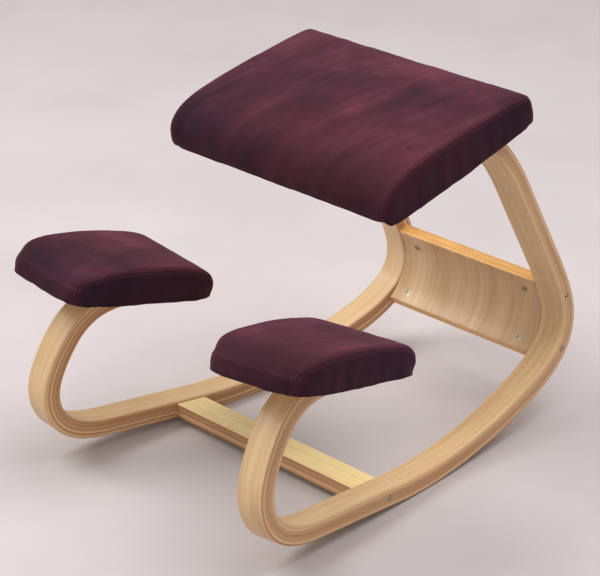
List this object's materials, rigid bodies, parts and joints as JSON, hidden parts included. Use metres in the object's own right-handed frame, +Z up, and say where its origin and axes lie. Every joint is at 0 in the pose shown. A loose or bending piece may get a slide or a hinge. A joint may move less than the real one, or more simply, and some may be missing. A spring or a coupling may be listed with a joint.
{
  "type": "rocking kneeling chair",
  "caption": "Rocking kneeling chair: a forward-sloping cushioned seat over a pair of knee pads on bent laminated wood runners.",
  "frame": {"origin": "on the floor, under the middle of the object's box, where the rockers' lowest edges meet the floor plane", "axes": "+X across the chair, +Y to the rear (the seat slopes down towards -Y, where the knee pads are), +Z up"},
  "size_m": [0.5944, 0.726, 0.5624],
  "materials": {
    "runner_wood": "clear satin lacquer on pale laminated veneer, long edges rounded",
    "panel_ply": "clear satin lacquer on pale plywood with visible plies at the cut edges",
    "board_ply": "raw plywood, hidden under upholstery",
    "dowel_wood": "plain hardwood dowel",
    "zinc_steel": "yellowish zinc plating",
    "foam": "upholstery foam",
    "suede": "dark plum suede-look microfibre with a short nap"
  },
  "bodies": {
    "root": {"right_runner": "runner_wood", "left_runner": "runner_wood", "front_crossbar": "panel_ply", "rear_panel": "panel_ply", "crossbar_bolts": "zinc_steel", "crossbar_barrel_nuts": "zinc_steel", "crossbar_dowels": "dowel_wood", "panel_bolts": "zinc_steel", "panel_barrel_nuts": "zinc_steel", "seat_board": "board_ply", "seat_foam": "foam", "seat_cover": "suede", "seat_t_nuts": "zinc_steel", "seat_bolts": "zinc_steel", "seat_washers": "zinc_steel", "seat_staples": "zinc_steel", "right_pad_board": "board_ply", "right_pad_foam": "foam", "right_pad_cover": "suede", "right_pad_staples": "zinc_steel", "left_pad_board": "board_ply", "left_pad_foam": "foam", "left_pad_cover": "suede", "left_pad_staples": "zinc_steel", "pad_t_nuts": "zinc_steel", "pad_bolts": "zinc_steel", "pad_washers": "zinc_steel"}
  },
  "joints": []
}
